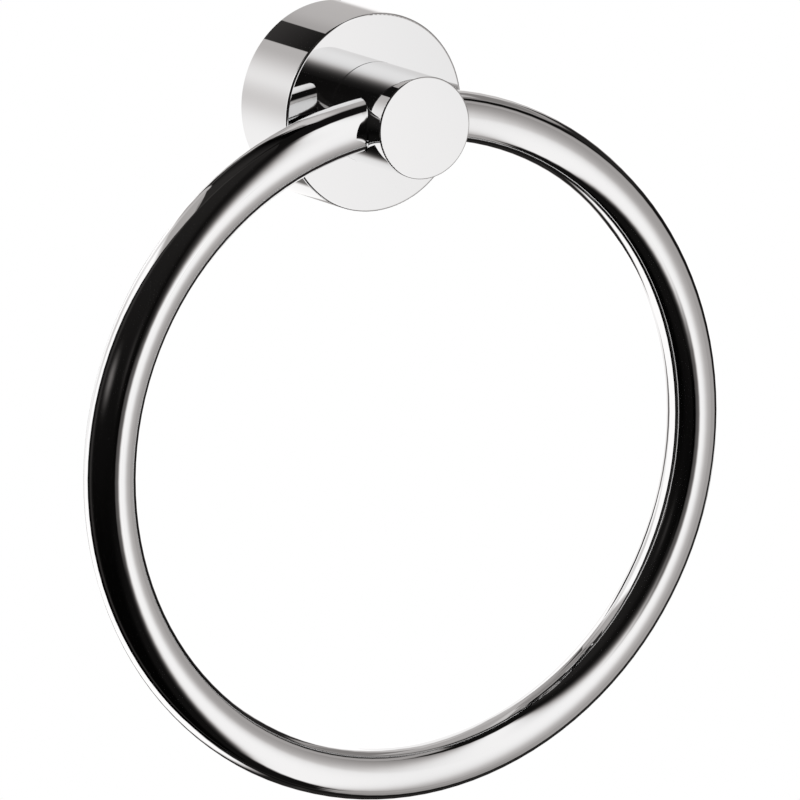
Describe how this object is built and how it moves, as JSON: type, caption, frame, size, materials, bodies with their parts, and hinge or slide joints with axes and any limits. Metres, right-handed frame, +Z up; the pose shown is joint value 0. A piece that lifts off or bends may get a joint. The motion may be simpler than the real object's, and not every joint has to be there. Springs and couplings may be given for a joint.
{
  "type": "towel ring",
  "caption": "Polished wall-mounted towel ring: a fixed round tube ring held by a round post on a hollow cylindrical rosette that covers its wall bracket.",
  "frame": {"origin": "middle of the rosette's foot, on the wall plane and half way between the two wall screws", "axes": "+Z up, +Y into the wall, so the ring stands out along -Y; +X to the right seen from the front"},
  "size_m": [0.18, 0.0485, 0.1976],
  "materials": {
    "polished_chrome": "bright chrome plate on polished brass",
    "cast_zinc": "die-cast zinc, tumbled",
    "screw_steel": "plain stainless steel"
  },
  "bodies": {
    "root": {"rosette": "polished_chrome", "post": "polished_chrome", "ring": "polished_chrome", "wall_bracket": "cast_zinc", "post_screw": "screw_steel", "post_screw_washer": "screw_steel", "post_locating_pin": "screw_steel", "ring_lock_screws": "screw_steel", "rosette_grub_screw": "screw_steel"}
  },
  "joints": []
}
